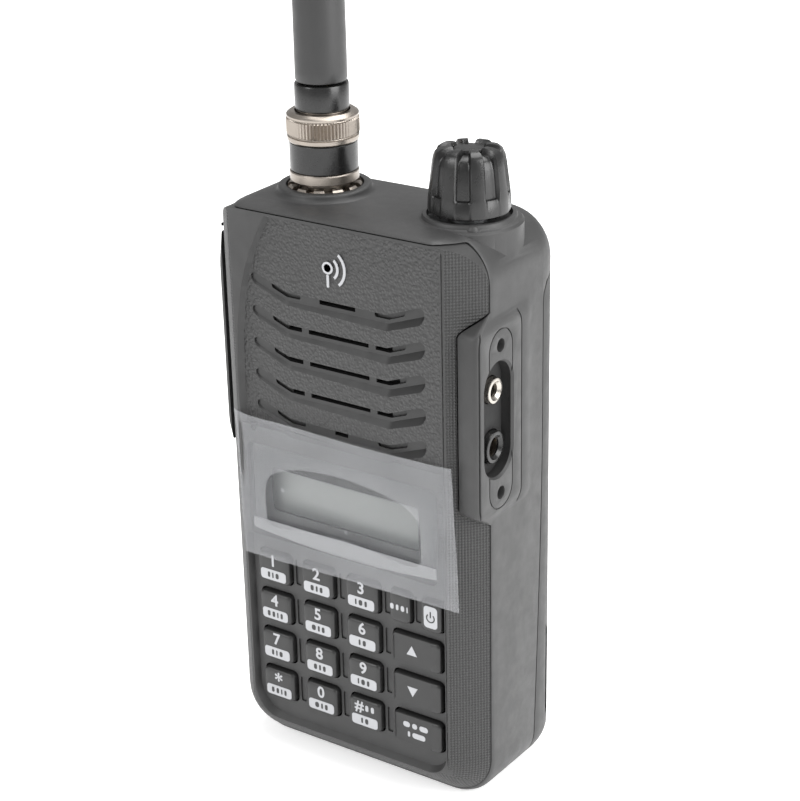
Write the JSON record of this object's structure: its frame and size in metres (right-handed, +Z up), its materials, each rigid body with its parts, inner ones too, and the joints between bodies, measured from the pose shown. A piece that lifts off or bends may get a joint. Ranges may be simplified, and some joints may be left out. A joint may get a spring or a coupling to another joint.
{
  "type": "handheld two-way radio",
  "caption": "Upright pocket radio with speaker grille, grey display, key grid, talk button, top knob, side sockets, rear battery pack and a whip aerial on a bayonet collar.",
  "frame": {"origin": "on the flat base, in the middle of the body's width and close to the middle of its depth", "axes": "+Z up along the aerial, -Y out of the front face, +X out of the side with the sockets"},
  "size_m": [0.0607, 0.0316, 0.276],
  "materials": {
    "shell_grained": "moulded black plastic, leather grain on the face, fine diamond grain on the chamfers",
    "shell_satin": "moulded charcoal plastic with a fine satin spark grain",
    "key_rubber": "satin black moulded keys with printed white legends",
    "key_white": "white printed key top on a black moulded key",
    "gloss_black": "semi-gloss black moulded plastic",
    "rubber_black": "satin black rubber",
    "nickel": "satin nickel plate, slightly warm",
    "steel": "plain steel",
    "cast_metal": "die-cast aluminium",
    "brass": "brass rod",
    "board_green": "green solder mask",
    "cell_wrap": "wrapped prismatic cell",
    "lcd_grey": "reflective grey-green liquid crystal panel",
    "light_guide": "white light guide",
    "lens_dark": "clear window with a dark printed border",
    "film_clear": "hazy translucent protective film"
  },
  "bodies": {
    "body": {"front_panel": "shell_grained", "main_housing": "shell_satin", "strap_bar": "shell_satin", "rear_chassis": "cast_metal", "shield_can": "cast_metal", "speaker": "cast_metal", "encoder_body": "cast_metal", "chassis_screw_1": "steel", "chassis_screw_2": "steel", "chassis_screw_3": "steel", "chassis_screw_4": "steel", "microphone": "steel", "display_lens": "lens_dark", "lcd_panel": "lcd_grey", "lcd_backlight": "light_guide", "keypad_membrane": "rubber_black", "speaker_mesh": "rubber_black", "logic_board": "board_green", "rf_board": "board_green", "talk_switch": "gloss_black", "jack_3_5mm": "gloss_black", "aerial_socket": "nickel", "socket_nut": "nickel", "jack_2_5mm": "nickel", "display_film": "film_clear"},
    "key_1_body": {"key_1": "key_rubber"},
    "key_2_body": {"key_2": "key_rubber"},
    "key_3_body": {"key_3": "key_rubber"},
    "key_4_body": {"key_4": "key_rubber"},
    "key_5_body": {"key_5": "key_rubber"},
    "key_6_body": {"key_6": "key_rubber"},
    "key_7_body": {"key_7": "key_rubber"},
    "key_8_body": {"key_8": "key_rubber"},
    "key_9_body": {"key_9": "key_rubber"},
    "key_star_body": {"key_star": "key_rubber"},
    "key_0_body": {"key_0": "key_rubber"},
    "key_hash_body": {"key_hash": "key_rubber"},
    "key_up_body": {"key_up": "key_rubber"},
    "key_down_body": {"key_down": "key_rubber"},
    "key_mode_body": {"key_mode": "key_rubber"},
    "key_monitor_body": {"key_monitor": "key_rubber"},
    "key_power_body": {"key_power": "key_white"},
    "talk_button_body": {"talk_button": "rubber_black"},
    "dial": {"tuning_knob": "gloss_black", "encoder_shaft": "steel"},
    "aerial": {"aerial_base": "gloss_black", "aerial_whip": "rubber_black", "aerial_core": "brass"},
    "coupling": {"aerial_coupling": "nickel", "coupling_band": "gloss_black"},
    "battery": {"battery_case": "shell_satin", "battery_plate": "shell_satin", "battery_cell_left": "cell_wrap", "battery_cell_right": "cell_wrap", "battery_board": "board_green"},
    "latch": {"battery_latch": "gloss_black"}
  },
  "joints": [
    {"name": "key_1_press", "type": "slide", "parent": "body", "child": "key_1_body", "axis": [0, 1, 0], "range_m": [0, 0.0006], "stiffness_N_per_m": 3000},
    {"name": "key_2_press", "type": "slide", "parent": "body", "child": "key_2_body", "axis": [0, 1, 0], "range_m": [0, 0.0006], "stiffness_N_per_m": 3000},
    {"name": "key_3_press", "type": "slide", "parent": "body", "child": "key_3_body", "axis": [0, 1, 0], "range_m": [0, 0.0006], "stiffness_N_per_m": 3000},
    {"name": "key_4_press", "type": "slide", "parent": "body", "child": "key_4_body", "axis": [0, 1, 0], "range_m": [0, 0.0006], "stiffness_N_per_m": 3000},
    {"name": "key_5_press", "type": "slide", "parent": "body", "child": "key_5_body", "axis": [0, 1, 0], "range_m": [0, 0.0006], "stiffness_N_per_m": 3000},
    {"name": "key_6_press", "type": "slide", "parent": "body", "child": "key_6_body", "axis": [0, 1, 0], "range_m": [0, 0.0006], "stiffness_N_per_m": 3000},
    {"name": "key_7_press", "type": "slide", "parent": "body", "child": "key_7_body", "axis": [0, 1, 0], "range_m": [0, 0.0006], "stiffness_N_per_m": 3000},
    {"name": "key_8_press", "type": "slide", "parent": "body", "child": "key_8_body", "axis": [0, 1, 0], "range_m": [0, 0.0006], "stiffness_N_per_m": 3000},
    {"name": "key_9_press", "type": "slide", "parent": "body", "child": "key_9_body", "axis": [0, 1, 0], "range_m": [0, 0.0006], "stiffness_N_per_m": 3000},
    {"name": "key_star_press", "type": "slide", "parent": "body", "child": "key_star_body", "axis": [0, 1, 0], "range_m": [0, 0.0006], "stiffness_N_per_m": 3000},
    {"name": "key_0_press", "type": "slide", "parent": "body", "child": "key_0_body", "axis": [0, 1, 0], "range_m": [0, 0.0006], "stiffness_N_per_m": 3000},
    {"name": "key_hash_press", "type": "slide", "parent": "body", "child": "key_hash_body", "axis": [0, 1, 0], "range_m": [0, 0.0006], "stiffness_N_per_m": 3000},
    {"name": "key_up_press", "type": "slide", "parent": "body", "child": "key_up_body", "axis": [0, 1, 0], "range_m": [0, 0.0006], "stiffness_N_per_m": 3000},
    {"name": "key_down_press", "type": "slide", "parent": "body", "child": "key_down_body", "axis": [0, 1, 0], "range_m": [0, 0.0006], "stiffness_N_per_m": 3000},
    {"name": "key_mode_press", "type": "slide", "parent": "body", "child": "key_mode_body", "axis": [0, 1, 0], "range_m": [0, 0.0006], "stiffness_N_per_m": 3000},
    {"name": "key_monitor_press", "type": "slide", "parent": "body", "child": "key_monitor_body", "axis": [0, 1, 0], "range_m": [0, 0.0006], "stiffness_N_per_m": 3000},
    {"name": "key_power_press", "type": "slide", "parent": "body", "child": "key_power_body", "axis": [0, 1, 0], "range_m": [0, 0.0006], "stiffness_N_per_m": 3000},
    {"name": "talk_press", "type": "slide", "parent": "body", "child": "talk_button_body", "axis": [1, 0, 0], "range_m": [0, 0.0008], "stiffness_N_per_m": 4000},
    {"name": "dial_turn", "type": "hinge", "parent": "body", "child": "dial", "pos_m": [0.0188, -0.0004, 0.113], "axis": [0, 0, 1], "continuous": true},
    {"name": "aerial_lift", "type": "slide", "parent": "body", "child": "aerial", "axis": [0, 0, 1], "range_m": [0, 0.012]},
    {"name": "coupling_turn", "type": "hinge", "parent": "aerial", "child": "coupling", "pos_m": [-0.012, -0.0004, 0.12], "axis": [0, 0, 1], "range_deg": [0, 90]},
    {"name": "battery_tilt", "type": "hinge", "parent": "body", "child": "battery", "pos_m": [0, 0.015, 0.1003], "axis": [1, 0, 0], "range_deg": [0, 30]},
    {"name": "latch_slide", "type": "slide", "parent": "battery", "child": "latch", "axis": [0, 0, 1], "range_m": [0, 0.0022], "stiffness_N_per_m": 900}
  ]
}
